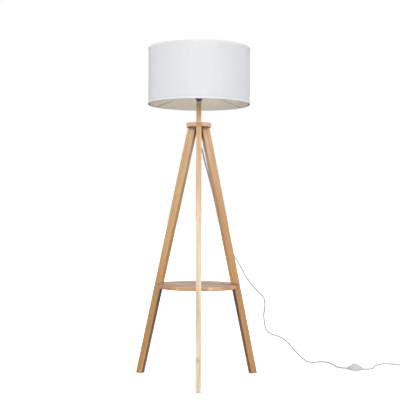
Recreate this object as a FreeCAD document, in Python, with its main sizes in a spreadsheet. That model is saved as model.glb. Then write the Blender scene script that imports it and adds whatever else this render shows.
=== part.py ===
"""Tripod floor lamp with a round shelf and a drum shade, in millimetres.

Three tapered wooden legs lean in to a small round head. A wooden stem stands on the head and carries an
E27 lampholder, and the drum shade hangs on the holder's flange by a three-armed spider. A round shelf ties
the legs together. The mains lead leaves the head through a gland, hangs down behind the right leg, runs
along the floor through an inline foot switch and ends in a neat coil with a two-pin plug.

Origin: on the floor, under the lamp's axis. +Z is up and -Y is the front, where one leg stands.
"""
import FreeCAD, Part
import math
import os

import Sketcher
from FreeCAD import Matrix, Placement, Rotation, Vector

# Driving dimensions: alias, value in millimetres (or a plain count or degrees), what it is.
DIMENSIONS = [
    # legs
    ("foot_reach", 316.2, "outer face of a leg at its foot, from the axis"),
    ("foot_depth", 32.2, "leg's radial depth at its foot"),
    ("head_height", 1116.5, "underside of the head, where the legs have their shoulders"),
    ("head_reach", 50.2, "outer face of a leg at the head, from the axis"),
    ("head_depth", 39.2, "leg's radial depth at the head"),
    ("leg_width", 22.8, "leg's width across"),
    ("leg_round", 1.6, "rounding of a leg's long edges"),
    ("tongue_inner", 30, "inner face of the tongue that runs up through the head, from the axis"),
    ("pad_thickness", 2, "felt pad under each foot"),
    ("pad_inset", 1.2, "felt pad's margin inside the foot"),
    # head, stem and shelf
    ("disc_radius", 54.8, "head disc"),
    ("disc_thickness", 19.5, "head disc"),
    ("disc_round", 2.4, "rounding of the head disc's edges"),
    ("shelf_height", 405, "underside of the shelf"),
    ("shelf_thickness", 17, "shelf"),
    ("shelf_radius", 182.5, "shelf"),
    ("shelf_round", 2.5, "rounding of the shelf's edges"),
    ("stem_radius", 11.1, "wooden stem"),
    ("stem_length", 96, "wooden stem, above the head"),
    ("stem_round", 1.2, "rounding at the ends of the stem"),
    # wood screws and plugs
    ("screw_radius", 2, "shank of a wood screw"),
    ("screw_head_radius", 4, "countersunk head"),
    ("screw_head_depth", 3, "countersunk head"),
    ("plug_radius", 4.5, "wooden plug over a screw head"),
    ("plug_depth", 3, "wooden plug over a head screw"),
    ("leg_screw_reach", 23.5, "head screws, from the axis"),
    ("leg_screw_length", 38, "head screws, with their heads"),
    ("shelf_screw_tip", 152, "shelf screws' tips, from the axis"),
    ("shelf_screw_top", 212.5, "shelf screws' head tops, from the axis"),
    # threaded rod, nut, washer and gland
    ("rod_radius", 5, "M10 hollow rod"),
    ("rod_bore", 3.7, "M10 hollow rod's bore radius"),
    ("rod_bottom", 1102.5, "lower end of the rod"),
    ("rod_top", 1244, "upper end of the rod"),
    ("washer_radius", 10.5, "washer under the head"),
    ("washer_thickness", 1.5, "washer under the head"),
    ("nut_flats", 14, "hexagon nut across its flats"),
    ("nut_thickness", 6, "hexagon nut"),
    ("gland_radius", 8, "cord gland's collar"),
    ("gland_tail_radius", 4.6, "cord gland's tapered end"),
    ("gland_bottom", 1076, "cord gland's outlet"),
    # lampholder
    ("holder_radius", 19.5, "lampholder's body"),
    ("holder_bore", 16, "lampholder's bore radius"),
    ("holder_seam", 1258, "joint between the cap and the body"),
    ("holder_top", 1322, "rim of the lampholder"),
    ("flange_radius", 25, "flange that carries the shade"),
    ("flange_top", 1296.9, "top of the flange"),
    ("flange_thickness", 2.9, "flange that carries the shade"),
    ("thread_radius", 20, "outside thread above the flange"),
    ("shell_radius", 13.3, "E27 screw shell, inside"),
    ("shell_wall", 0.6, "E27 screw shell"),
    ("shell_bottom", 1270, "E27 screw shell"),
    ("shell_top", 1296, "E27 screw shell"),
    ("clamp_radius", 28, "shade clamp ring, outside"),
    ("clamp_bore", 20.35, "shade clamp ring, inside radius"),
    ("clamp_height", 7.4, "shade clamp ring"),
    ("clamp_grips", 24, "finger grooves round the clamp ring"),
    ("moving_gap", 0.1, "gap between faces that part when a joint moves"),
    # shade
    ("shade_radius", 225, "outside of the fabric"),
    ("shade_bottom", 1217.5, "lower rim"),
    ("shade_height", 247, "rim to rim"),
    ("fabric_thickness", 1, "fabric"),
    ("liner_thickness", 0.6, "stiff liner behind the fabric"),
    ("wire_radius", 2, "rim wires"),
    ("arm_radius", 1.8, "spider arms"),
    ("tape_thickness", 0.6, "hem tape"),
    ("tape_height", 9, "hem tape, outside"),
    ("tape_return", 6.5, "hem tape, inside"),
    ("spider_radius", 31, "spider's centre ring, outside"),
    ("spider_bore", 20.6, "spider's centre ring, inside radius"),
    ("spider_thickness", 2.4, "spider's centre ring"),
    # cord, foot switch and plug
    ("cord_radius", 3.25, "mains lead"),
    ("switch_radius", 36, "foot switch"),
    ("switch_base_height", 10.5, "foot switch's lower shell"),
    ("switch_collar_radius", 16.4, "foot switch's collar round its button"),
    ("switch_collar_height", 22, "foot switch's collar round its button"),
    ("switch_wall", 2, "foot switch's shells"),
    ("switch_half_length", 41, "foot switch, centre to cord outlet"),
    ("switch_axis_height", 5.9, "cord's height at the foot switch"),
    ("switch_screw_reach", 24, "foot switch's screws, from its middle"),
    ("switch_screw_radius", 1.5, "foot switch's screws"),
    ("switch_screw_head", 2.6, "foot switch's countersunk screw heads"),
    ("switch_screw_sink", 1.2, "foot switch's countersunk screw heads"),
    ("switch_screw_top", 8.2, "tips of the foot switch's screws"),
    ("button_radius", 13.4, "foot switch's button"),
    ("button_top", 30.5, "top of the button"),
    ("button_travel", 3, "button's stroke"),
    ("plug_width", 35.3, "plug across its pins"),
    ("plug_thickness", 13.7, "plug"),
    ("plug_length", 36, "plug's body along its pins"),
    ("plug_tail", 22, "plug's strain relief"),
    ("pin_radius", 2, "plug's pins"),
    ("pin_length", 19, "plug's pins"),
    ("pin_spacing", 18.6, "plug's pins, centre to centre"),
    ("coil_radius", 36, "coil, at the middle of its turns"),
    ("coil_half_width", 6.8, "coil's band, half across"),
    ("coil_height", 12.8, "coil"),
    ("floor_gap", 0.2, "between the floor and what lies on it beside the lamp"),
]

LEG_AZIMUTHS = {"leg_front": -90, "leg_back_right": 30, "leg_back_left": 150}
ARM_AZIMUTHS = (-90, 30, 150)

# Where the foot switch, the coil and the plug lie: centre x, centre y and turn about +Z in degrees.
SWITCH_PLACE = (751, 246, -15)
COIL_CENTRE = (1055.2, 362.4)
PLUG_PLACE = (1094.5, 415, 90)

# The lead's route, as corner points. It leaves the gland straight down, hangs behind the right leg with the
# bends that it keeps from its packing, lands behind that leg and swings round to the foot switch.
CORD_TO_SWITCH = [
    (0, 0, 1076),
    (0, 0, 1059.5),
    (4.6, 3.8, 1043.5),
    (12.5, 12.5, 1029),
    (18, 28, 1011),
    (24, 44, 986),
    (36, 61, 946),
    (50, 76, 896),
    (66, 88, 838),
    (81, 98, 776),
    (97, 107, 714),
    (115, 117, 652),
    (139, 130, 594),
    (170, 147, 542),
    (201, 162, 490),
    (231, 173, 436),
    (268, 183, 388),
    (313, 191, 350),
    (320, 197, 306),
    (312, 202, 264),
    (318, 207, 224),
    (325, 214, 188),
    (354, 229, 169),
    (400, 257, 153),
    (441, 292, 120),
    (480, 326, 72),
    (523, 359, 30),
    (560, 394, 8),
    (580, 422, 4),
    (598, 441.5, 3.6),
    (622.5, 450, 3.6),
    (646.5, 441.5, 3.6),
    (660.5, 418, 3.6),
    (665, 386, 3.6),
    (669, 349, 3.6),
    (674.5, 310.7, 3.6),
    (678.8, 284.7, 4.5),
    (697.874, 260.235, 5.9),
    (727.335, 252.341, 5.9),
]

# From the foot switch the lead swings back, rises to a last bend and meets the coil along its edge.
CORD_TO_COIL = [
    (781.427, 237.847, 5.9),
    (802.7, 232.147, 5.9),
    (824.3, 240, 4.9),
    (838.6, 260.5, 3.8),
    (853.5, 301, 3.6),
    (871, 343, 3.6),
    (892, 377, 3.6),
    (918, 396, 3.6),
    (948, 398, 3.6),
    (975, 383, 3.6),
    (994, 365.5, 3.6),
    (1014, 348.2, 3.6),
    (1033.5, 332.2, 3.6),
]

# The last of the lead climbs off the coil's top turn and goes level into the plug.
CORD_TO_PLUG = [
    (1091.4, 378.8, 9.6),
    (1094.5, 397, 7.05),
    (1094.5, 415, 7.05),
]

doc = FreeCAD.newDocument("tripod_floor_lamp")
dims = doc.addObject("Spreadsheet::Sheet", "dims")
nodes = {}


# ---------------------------------------------------------------- the sheet and small helpers


def fill_sheet():
    for row, (alias, value, meaning) in enumerate(DIMENSIONS, start=1):
        dims.set(f"A{row}", meaning)
        dims.set(f"B{row}", str(value))
        dims.setAlias(f"B{row}", alias)
    doc.recompute()


def size(alias):
    return float(getattr(dims, alias))


def on_sheet(formula):
    """A formula whose words are aliases of the sheet, as an expression of the document."""
    words, word = [], ""
    for letter in str(formula) + " ":
        if letter.isalnum() or letter == "_" or (letter == "." and word and word[0].isdigit()):
            word += letter
        else:
            words.append(f"dims.{word}" if word and word[0].isalpha() else word)
            words.append(letter)
            word = ""
    return "".join(words).strip()


def worth(formula):
    return float(dims.evalExpression(on_sheet(formula)))


def keep(item, label):
    """Names a finished sub-part, so that it is written to its own file."""
    item.Label = label
    nodes[label] = item
    return item


def turned(item, azimuth, place=(0, 0, 0)):
    item.Placement = Placement(Vector(*place), Rotation(Vector(0, 0, 1), azimuth))
    return item


# ---------------------------------------------------------------- PartDesign helpers


def new_body(name):
    return doc.addObject("PartDesign::Body", name)


def sketch_on(body, name, role="XZ_Plane"):
    sketch = body.newObject("Sketcher::SketchObject", name)
    plane = [feature for feature in body.Origin.OriginFeatures if feature.Role == role][0]
    sketch.AttachmentSupport = (plane, [""])
    sketch.MapMode = "FlatFace"
    return sketch


def tie(sketch, line, point, formula, across):
    """Ties one coordinate of a line's end to a formula of the sheet."""
    value = worth(formula)
    if value == 0:
        sketch.addConstraint(Sketcher.Constraint("PointOnObject", line, point, -2 if across else -1))
        return
    kind = "DistanceX" if across else "DistanceY"
    index = sketch.addConstraint(Sketcher.Constraint(kind, -1, 1, line, point, value))
    sketch.setExpression(f"Constraints[{index}]", on_sheet(formula))


def outline(sketch, corners):
    """A closed outline of straight lines whose corners are pairs of formulas."""
    points = [Vector(worth(a), worth(b), 0) for a, b in corners]
    first = sketch.GeometryCount
    for index, point in enumerate(points):
        sketch.addGeometry(Part.LineSegment(point, points[(index + 1) % len(points)]), False)
    for index in range(len(points)):
        after = first + (index + 1) % len(points)
        sketch.addConstraint(Sketcher.Constraint("Coincident", first + index, 2, after, 1))
    for index, (a, b) in enumerate(corners):
        tie(sketch, first + index, 1, a, True)
        tie(sketch, first + index, 1, b, False)
    return sketch


def revolution(body, name, corners, angle=360):
    """A feature turned about the body's own Z axis from an outline in its XZ plane."""
    feature = body.newObject("PartDesign::Revolution", name)
    feature.Profile = outline(sketch_on(body, name + "_profile"), corners)
    feature.ReferenceAxis = (feature.Profile[0], ["V_Axis"])
    feature.Angle = angle
    body.Tip = feature
    doc.recompute()
    return feature


def rounded(body, name, formula, wanted, kind="PartDesign::Fillet"):
    """Rounds, or chamfers, the edges of the body's last feature that the test picks."""
    base = body.Tip
    picked = [f"Edge{n}" for n, edge in enumerate(base.Shape.Edges, start=1) if wanted(edge)]
    feature = body.newObject(kind, name)
    feature.Base = (base, picked)
    feature.setExpression("Radius" if kind.endswith("Fillet") else "Size", on_sheet(formula))
    body.Tip = feature
    doc.recompute()
    return feature


def turned_body(name, corners):
    body = new_body(name)
    revolution(body, name + "_turned", corners)
    return body


def circle_at(radius, *heights):
    """A test for the full circular edges of one radius at given heights."""

    def wanted(edge):
        curve = edge.Curve
        if not isinstance(curve, Part.Circle) or abs(curve.Radius - radius) > 0.01:
            return False
        return any(abs(curve.Center.z - height) < 0.01 for height in heights)

    return wanted


# ---------------------------------------------------------------- Part helpers


def place_at(item, centre):
    for letter, formula in zip("xyz", centre):
        item.setExpression(f"Placement.Base.{letter}", on_sheet(formula))


def cylinder(name, radius, height, centre=(0, 0, 0), axis=Vector(0, 0, 1)):
    item = doc.addObject("Part::Cylinder", name)
    item.Placement = Placement(Vector(), Rotation(Vector(0, 0, 1), axis))
    item.setExpression("Radius", on_sheet(radius))
    item.setExpression("Height", on_sheet(height))
    place_at(item, centre)
    return item


def box(name, length, width, height, corner):
    item = doc.addObject("Part::Box", name)
    item.setExpression("Length", on_sheet(length))
    item.setExpression("Width", on_sheet(width))
    item.setExpression("Height", on_sheet(height))
    place_at(item, corner)
    return item


def fused(name, items):
    item = doc.addObject("Part::MultiFuse", name)
    item.Shapes = items
    return item


def cut(name, base, tools):
    item = doc.addObject("Part::Cut", name)
    item.Base = base
    item.Tool = tools[0] if len(tools) == 1 else fused(name + "_tools", tools)
    doc.recompute()
    return item


def group(label, shapes):
    """Identical or like pieces as separate solids under one name."""
    item = doc.addObject("Part::Feature", label)
    item.Shape = Part.makeCompound(shapes)
    return keep(item, label)


def spun(shape, azimuth):
    copy = shape.copy()
    copy.rotate(Vector(), Vector(0, 0, 1), azimuth)
    return copy


def moved(shape, centre, azimuth=0):
    return shape.transformed(Placement(Vector(*centre), Rotation(Vector(0, 0, 1), azimuth)).toMatrix())


# ---------------------------------------------------------------- legs, pads and their fasteners


def leg_blank(name):
    """The tapered, leaning bar of one leg, standing along +X, with its shoulder and its tongue."""
    body = new_body(name)
    lean = "(foot_reach - head_reach) / (head_height - pad_thickness)"
    corners = [
        ("foot_reach - foot_depth", "pad_thickness"),
        ("foot_reach", "pad_thickness"),
        (f"head_reach - {lean} * disc_thickness", "head_height + disc_thickness"),
        ("tongue_inner", "head_height + disc_thickness"),
        ("tongue_inner", "head_height"),
        ("head_reach - head_depth", "head_height"),
    ]
    pad = body.newObject("PartDesign::Pad", name + "_bar")
    pad.Profile = outline(sketch_on(body, name + "_side"), corners)
    pad.setExpression("Length", on_sheet("leg_width"))
    pad.Midplane = True
    body.Tip = pad
    doc.recompute()
    return body


def is_long_edge(edge):
    return edge.Length > 500


def make_legs():
    shelf_middle = "shelf_height + shelf_thickness / 2"
    for label, azimuth in LEG_AZIMUTHS.items():
        body = leg_blank(label + "_bar")
        rounded(body, label + "_round", "leg_round", is_long_edge)
        out = Vector(1, 0, 0)
        holes = [
            cylinder(label + "_shelf_hole", "screw_radius", "foot_reach", (0, 0, shelf_middle), out),
            cylinder(
                label + "_shelf_plug_hole",
                "plug_radius",
                "foot_reach - shelf_screw_top",
                ("shelf_screw_top - screw_head_depth", 0, shelf_middle),
                out,
            ),
            cylinder(
                label + "_head_hole",
                "screw_radius",
                "leg_screw_length",
                ("leg_screw_reach", 0, "head_height + disc_thickness - plug_depth - leg_screw_length"),
            ),
        ]
        leg = cut(label + "_drilled", body, holes)
        keep(turned(leg, azimuth), label)


def make_foot_pads():
    inset, thick = size("pad_inset"), size("pad_thickness")
    depth, width = size("foot_depth") - 2 * inset, size("leg_width") - 2 * inset
    corner = Vector(size("foot_reach") - size("foot_depth") + inset, -width / 2, 0)
    pad = Part.makeBox(depth, width, thick, corner)
    upright = [edge for edge in pad.Edges if abs(edge.tangentAt(edge.FirstParameter).z) > 0.9]
    pad = pad.makeFillet(inset, upright)
    group("foot_pads", [spun(pad, azimuth) for azimuth in LEG_AZIMUTHS.values()])


def wood_screw(length):
    """A countersunk screw with its head's top at the origin and its shank along -Z."""
    depth, shank, head = size("screw_head_depth"), size("screw_radius"), size("screw_head_radius")
    tip = 5
    cone = Part.makeCone(shank, head, depth, Vector(0, 0, -depth))
    shaft = Part.makeCylinder(shank, length - depth - tip, Vector(0, 0, tip - length))
    point = Part.makeCone(0.3, shank, tip, Vector(0, 0, -length))
    slot = Part.makeBox(4.6, 0.9, 1.2, Vector(-2.3, -0.45, -1.2))
    cross = slot.fuse(spun(slot, 90))
    return cone.fuse([shaft, point]).removeSplitter().cut(cross)


def make_wood_fasteners():
    top = size("head_height") + size("disc_thickness")
    head = moved(wood_screw(size("leg_screw_length")), (size("leg_screw_reach"), 0, top - size("plug_depth")))
    group("leg_screws", [spun(head, azimuth) for azimuth in ARM_AZIMUTHS])

    middle = size("shelf_height") + size("shelf_thickness") / 2
    length = size("shelf_screw_top") - size("shelf_screw_tip")
    side = wood_screw(length)
    side.rotate(Vector(), Vector(0, 1, 0), 90)
    side = moved(side, (size("shelf_screw_top"), 0, middle))
    group("shelf_screws", [spun(side, azimuth) for azimuth in ARM_AZIMUTHS])

    radius, depth = size("plug_radius"), size("plug_depth")
    upper = Part.makeCylinder(radius, depth, Vector(size("leg_screw_reach"), 0, top - depth))
    start = Vector(size("shelf_screw_top"), 0, middle)
    outer = Part.makeCylinder(radius, 20, start, Vector(1, 0, 0))
    outer = outer.common(doc.getObject("leg_front_bar").Tip.Shape)
    group("disc_plugs", [spun(upper, azimuth) for azimuth in ARM_AZIMUTHS])
    group("leg_plugs", [spun(outer, azimuth) for azimuth in ARM_AZIMUTHS])


# ---------------------------------------------------------------- head disc, shelf and stem


def make_head_disc():
    top = "head_height + disc_thickness"
    body = turned_body(
        "head_disc_body",
        [
            ("rod_radius", "head_height"),
            ("disc_radius", "head_height"),
            ("disc_radius", top),
            ("rod_radius", top),
        ],
    )
    edge = circle_at(size("disc_radius"), size("head_height"), size("head_height") + size("disc_thickness"))
    rounded(body, "head_disc_round", "disc_round", edge)
    tools = []
    for azimuth in ARM_AZIMUTHS:
        name = f"head_disc_{azimuth % 360}"
        start = ("leg_screw_reach", 0, "head_height - 1")
        screw = cylinder(name + "_screw", "screw_radius", "disc_thickness + 2", start)
        seat = ("leg_screw_reach", 0, f"{top} - plug_depth - screw_head_depth")
        plug = cylinder(name + "_plug", "plug_radius", "plug_depth + screw_head_depth + 1", seat)
        corner = ("tongue_inner", "0 - leg_width / 2", "head_height - 1")
        notch = box(name + "_notch", "disc_radius", "leg_width", "disc_thickness + 2", corner)
        tools.append(turned(fused(name + "_joint", [screw, plug, notch]), azimuth))
    keep(cut("head_disc_drilled", body, tools), "head_disc")


def make_shelf():
    top = "shelf_height + shelf_thickness"
    body = turned_body(
        "shelf_body",
        [(0, "shelf_height"), ("shelf_radius", "shelf_height"), ("shelf_radius", top), (0, top)],
    )
    low = size("shelf_height")
    edge = circle_at(size("shelf_radius"), low, low + size("shelf_thickness"))
    rounded(body, "shelf_edge_round", "shelf_round", edge)
    tools = []
    middle = "shelf_height + shelf_thickness / 2"
    for azimuth in ARM_AZIMUTHS:
        name = f"shelf_{azimuth % 360}"
        length = "shelf_radius - shelf_screw_tip + 5"
        hole = cylinder(name + "_hole", "screw_radius", length, ("shelf_screw_tip", 0, middle), Vector(1, 0, 0))
        seat = leg_blank(name + "_seat")
        tools.append(turned(fused(name + "_joint", [hole, seat]), azimuth))
    keep(cut("shelf_jointed", body, tools), "shelf")


def make_stem():
    low, high = "head_height + disc_thickness", "head_height + disc_thickness + stem_length"
    body = turned_body(
        "stem_body",
        [("rod_radius", low), ("stem_radius", low), ("stem_radius", high), ("rod_radius", high)],
    )
    edge = circle_at(size("stem_radius"), worth(low), worth(high))
    rounded(body, "stem_round", "stem_round", edge)
    keep(body, "stem")


# ---------------------------------------------------------------- rod, nut, washer and gland


def make_rod_parts():
    rod = turned_body(
        "threaded_rod_body",
        [("rod_bore", "rod_bottom"), ("rod_radius", "rod_bottom"), ("rod_radius", "rod_top"), ("rod_bore", "rod_top")],
    )
    keep(rod, "threaded_rod")

    washer_low = "head_height - washer_thickness"
    washer = turned_body(
        "rod_washer_body",
        [
            ("rod_radius", washer_low),
            ("washer_radius", washer_low),
            ("washer_radius", "head_height"),
            ("rod_radius", "head_height"),
        ],
    )
    keep(washer, "rod_washer")

    nut_low = "head_height - washer_thickness - nut_thickness"
    hexagon = doc.addObject("Part::Prism", "rod_nut_hexagon")
    hexagon.Polygon = 6
    hexagon.setExpression("Circumradius", on_sheet("nut_flats / 2 / 0.866025"))
    hexagon.setExpression("Height", on_sheet("nut_thickness"))
    place_at(hexagon, (0, 0, nut_low))
    bore = cylinder("rod_nut_bore", "rod_radius", "nut_thickness + 2", (0, 0, f"{nut_low} - 1"))
    keep(cut("rod_nut_bored", hexagon, [bore]), "rod_nut")

    gland = turned_body(
        "cord_gland_body",
        [
            ("cord_radius", "gland_bottom"),
            ("gland_tail_radius", "gland_bottom"),
            ("gland_radius", "rod_bottom - 4"),
            ("gland_radius", nut_low),
            ("rod_radius", nut_low),
            ("rod_radius", "rod_bottom"),
            ("cord_radius", "rod_bottom"),
        ],
    )
    rounded(gland, "cord_gland_round", 1, circle_at(size("gland_tail_radius"), size("gland_bottom")))
    keep(gland, "cord_gland")

    inner = cylinder("cord_in_stem_core", "cord_radius", "rod_top + 3 - gland_bottom", (0, 0, "gland_bottom"))
    keep(inner, "cord_in_stem")


# ---------------------------------------------------------------- lampholder and clamp ring


def make_lampholder():
    low = "head_height + disc_thickness + stem_length"
    cap = turned_body(
        "holder_cap_body",
        [
            ("rod_radius", low),
            ("rod_radius + 4", low),
            ("holder_radius - 2", f"{low} + 12"),
            ("holder_radius", f"{low} + 18"),
            ("holder_radius", "holder_seam"),
            ("holder_radius - 2.2", "holder_seam"),
            ("holder_radius - 2.2", f"{low} + 18.6"),
            ("holder_radius - 4", f"{low} + 14.5"),
            ("rod_radius + 4", f"{low} + 9"),
            ("rod_radius", f"{low} + 9"),
        ],
    )
    shoulder = circle_at(size("holder_radius") - 2, worth(low) + 12)
    rounded(cap, "holder_cap_round", 1.6, shoulder)
    keep(cap, "holder_cap")

    body = turned_body(
        "holder_body_turned",
        [
            ("holder_bore", "holder_seam"),
            ("holder_radius", "holder_seam"),
            ("holder_radius", "flange_top - flange_thickness"),
            ("flange_radius", "flange_top - flange_thickness"),
            ("flange_radius", "flange_top"),
            ("thread_radius", "flange_top"),
            ("thread_radius", "holder_top"),
            ("holder_bore", "holder_top"),
        ],
    )
    rim = circle_at(size("thread_radius"), size("holder_top"))
    rounded(body, "holder_body_rim", 1.2, rim)
    keep(body, "holder_body")

    insert = turned_body(
        "holder_insert_body",
        [
            (0, "holder_seam"),
            ("holder_bore", "holder_seam"),
            ("holder_bore", "shell_bottom"),
            ("shell_radius - 4", "shell_bottom"),
            ("shell_radius - 4", "shell_bottom - 8"),
            (0, "shell_bottom - 8"),
        ],
    )
    keep(insert, "holder_insert")

    shell = turned_body(
        "screw_shell_body",
        [
            ("shell_radius", "shell_bottom"),
            ("shell_radius + shell_wall", "shell_bottom"),
            ("shell_radius + shell_wall", "shell_top"),
            ("shell_radius", "shell_top"),
        ],
    )
    keep(shell, "screw_shell")

    contact = turned_body(
        "centre_contact_body",
        [
            (0, "shell_bottom - 8"),
            (4.5, "shell_bottom - 8"),
            (4.5, "shell_bottom - 6.8"),
            (2.6, "shell_bottom - 6.2"),
            (2.6, "shell_bottom - 2"),
            (0, "shell_bottom - 1.2"),
        ],
    )
    keep(contact, "centre_contact")

    block = Part.makeBox(5, 6, 6, Vector(6.5, -3, size("holder_seam") - 6))
    screw = Part.makeCylinder(1.4, 2.4, Vector(11.5, 0, size("holder_seam") - 3), Vector(1, 0, 0))
    terminal = block.fuse(screw).removeSplitter()
    group("holder_terminals", [terminal, spun(terminal, 180)])


def make_clamp_ring():
    low = "flange_top + 2 * moving_gap + spider_thickness"
    high = f"{low} + clamp_height"
    body = turned_body(
        "clamp_ring_body",
        [
            ("clamp_bore", low),
            ("clamp_radius", low),
            ("clamp_radius", high),
            ("clamp_bore", high),
        ],
    )
    edge = circle_at(size("clamp_radius"), worth(low), worth(high))
    rounded(body, "clamp_ring_chamfer", 1, edge, "PartDesign::Chamfer")
    sketch = sketch_on(body, "clamp_ring_grip", "XY_Plane")
    reach = worth("clamp_radius + 0.6")
    sketch.addGeometry(Part.Circle(Vector(reach, 0, 0), Vector(0, 0, 1), 1.4), False)
    sketch.addConstraint(Sketcher.Constraint("PointOnObject", 0, 3, -1))
    index = sketch.addConstraint(Sketcher.Constraint("DistanceX", -1, 1, 0, 3, reach))
    sketch.setExpression(f"Constraints[{index}]", on_sheet("clamp_radius + 0.6"))
    sketch.addConstraint(Sketcher.Constraint("Radius", 0, 1.4))
    groove = body.newObject("PartDesign::Pocket", "clamp_ring_groove")
    groove.Profile = sketch
    groove.Type = "ThroughAll"
    groove.Reversed = True
    body.Tip = groove
    doc.recompute()
    pattern = body.newObject("PartDesign::PolarPattern", "clamp_ring_grips")
    pattern.Originals = [groove]
    pattern.Axis = (sketch, ["N_Axis"])
    pattern.Angle = 360
    pattern.Occurrences = int(size("clamp_grips"))
    body.Tip = pattern
    doc.recompute()
    keep(body, "clamp_ring")


# ---------------------------------------------------------------- bent tubes


def bend_radii(points, share=0.45):
    """Each corner's arc radius: a share of its shorter run, divided by the tangent of half its turn."""
    radii = []
    for before, corner, after in zip(points, points[1:], points[2:]):
        one, two = corner - before, after - corner
        turn = one.getAngle(two)
        radii.append(share * min(one.Length, two.Length) / math.tan(turn / 2))
    return radii


def bent_path(points):
    """Straight runs joined by tangent arcs, as one wire."""
    edges, start = [], points[0]
    for (before, corner, after), radius in zip(zip(points, points[1:], points[2:]), bend_radii(points)):
        back = (before - corner).normalize()
        on = (after - corner).normalize()
        half = back.getAngle(on) / 2
        setback = radius / math.tan(half)
        first, last = corner + back * setback, corner + on * setback
        middle = (back + on).normalize() * (radius / math.sin(half) - radius) + corner
        edges.append(Part.LineSegment(start, first).toShape())
        edges.append(Part.Arc(first, middle, last).toShape())
        start = last
    edges.append(Part.LineSegment(start, points[-1]).toShape())
    return Part.Wire(edges)


def bent_tube(name, route, radius):
    """A solid round bar along a bent path, with its volume compared with its section times its length."""
    points = [Vector(*point) for point in route]
    path = bent_path(points)
    ring = Part.Wire([Part.makeCircle(radius, points[0], points[1] - points[0])])
    solid = path.makePipeShell([ring], True, False)
    expected = math.pi * radius**2 * path.Length
    radii = bend_radii(points)
    print(
        f"{name}: length {path.Length:.1f} mm, smallest bend {min(radii, default=0):.1f} mm, "
        f"volume over section times length {solid.Volume / expected:.5f}"
    )
    print("   radii", [round(value) for value in radii])
    if abs(solid.Volume / expected - 1) > 0.002:
        raise ValueError(f"{name} isn't the tube that its route describes")
    return solid


# ---------------------------------------------------------------- shade


def make_spider():
    """A flat centre ring with three wire arms that drop to the lower rim wire and level out along it."""
    low = size("flange_top") + size("moving_gap")
    ring = Part.makeCylinder(size("spider_radius"), size("spider_thickness"), Vector(0, 0, low))
    ring = ring.cut(Part.makeCylinder(size("spider_bore"), size("spider_thickness"), Vector(0, 0, low)))
    wire_height = rim_wire_height("bottom")
    wire_reach = rim_wire_reach()
    start = low + size("spider_thickness") / 2
    route = [
        (size("spider_radius") - 1.5, 0, start),
        (58, 0, start - 18),
        (88, 0, start - 36),
        (120, 0, wire_height + 28.5),
        (154, 0, wire_height + 18.5),
        (188, 0, wire_height + 9.8),
        (wire_reach - 0.5, 0, wire_height + 0.4),
    ]
    arm = bent_tube("spider arm", route, size("arm_radius"))
    shape = ring
    for azimuth in ARM_AZIMUTHS:
        shape = shape.fuse(spun(arm, azimuth))
    shape = shape.cut(Part.makeTorus(wire_reach, size("wire_radius"), Vector(0, 0, wire_height)))
    solid = max(shape.Solids, key=lambda piece: piece.Volume)
    bore = Part.makeCylinder(size("spider_bore"), 40, Vector(0, 0, low - 20))
    item = doc.addObject("Part::Feature", "spider")
    item.Shape = solid.cut(bore)
    keep(item, "spider")


def rim_wire_reach():
    return worth("shade_radius - fabric_thickness - liner_thickness - wire_radius")


def rim_wire_height(rim):
    inset = size("tape_thickness") + size("wire_radius")
    return size("shade_bottom") + (inset if rim == "bottom" else size("shade_height") - inset)


def make_rim_wires():
    reach = "shade_radius - fabric_thickness - liner_thickness - wire_radius"
    heights = {
        "bottom_rim_wire": "shade_bottom + tape_thickness + wire_radius",
        "top_rim_wire": "shade_bottom + shade_height - tape_thickness - wire_radius",
    }
    for label, height in heights.items():
        wire = doc.addObject("Part::Torus", label + "_torus")
        wire.setExpression("Radius1", on_sheet(reach))
        wire.setExpression("Radius2", on_sheet("wire_radius"))
        place_at(wire, (0, 0, height))
        keep(wire, label)


def make_shade_skins():
    low, high = "shade_bottom + tape_thickness", "shade_bottom + shade_height - tape_thickness"
    walls = {
        "shade_fabric": ("shade_radius - fabric_thickness", "shade_radius"),
        "shade_liner": (
            "shade_radius - fabric_thickness - liner_thickness",
            "shade_radius - fabric_thickness",
        ),
    }
    for label, (inner, outer) in walls.items():
        body = turned_body(label + "_body", [(inner, low), (outer, low), (outer, high), (inner, high)])
        keep(body, label)


def hem_outline(edge, sign):
    """A tape folded over one rim: outside band, rim and the return inside the wire."""
    outer = "shade_radius + tape_thickness"
    wire = "shade_radius - fabric_thickness - liner_thickness - 2 * wire_radius"
    inner = f"{wire} - tape_thickness"
    step = f"{edge} {sign} tape_thickness"
    return [
        (inner, edge),
        (outer, edge),
        (outer, f"{edge} {sign} tape_height"),
        ("shade_radius", f"{edge} {sign} tape_height"),
        ("shade_radius", step),
        (wire, step),
        (wire, f"{edge} {sign} tape_return"),
        (inner, f"{edge} {sign} tape_return"),
    ]


def make_hems():
    top = turned_body("top_hem_body", hem_outline("shade_bottom + shade_height", "-"))
    keep(top, "top_hem_tape")
    bottom = turned_body("bottom_hem_body", hem_outline("shade_bottom", "+"))
    keep(cut("bottom_hem_notched", bottom, [nodes["spider"]]), "bottom_hem_tape")


# ---------------------------------------------------------------- foot switch


def at_switch(item):
    x, y, azimuth = SWITCH_PLACE
    return turned(item, azimuth, (x, y, size("floor_gap")))


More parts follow.
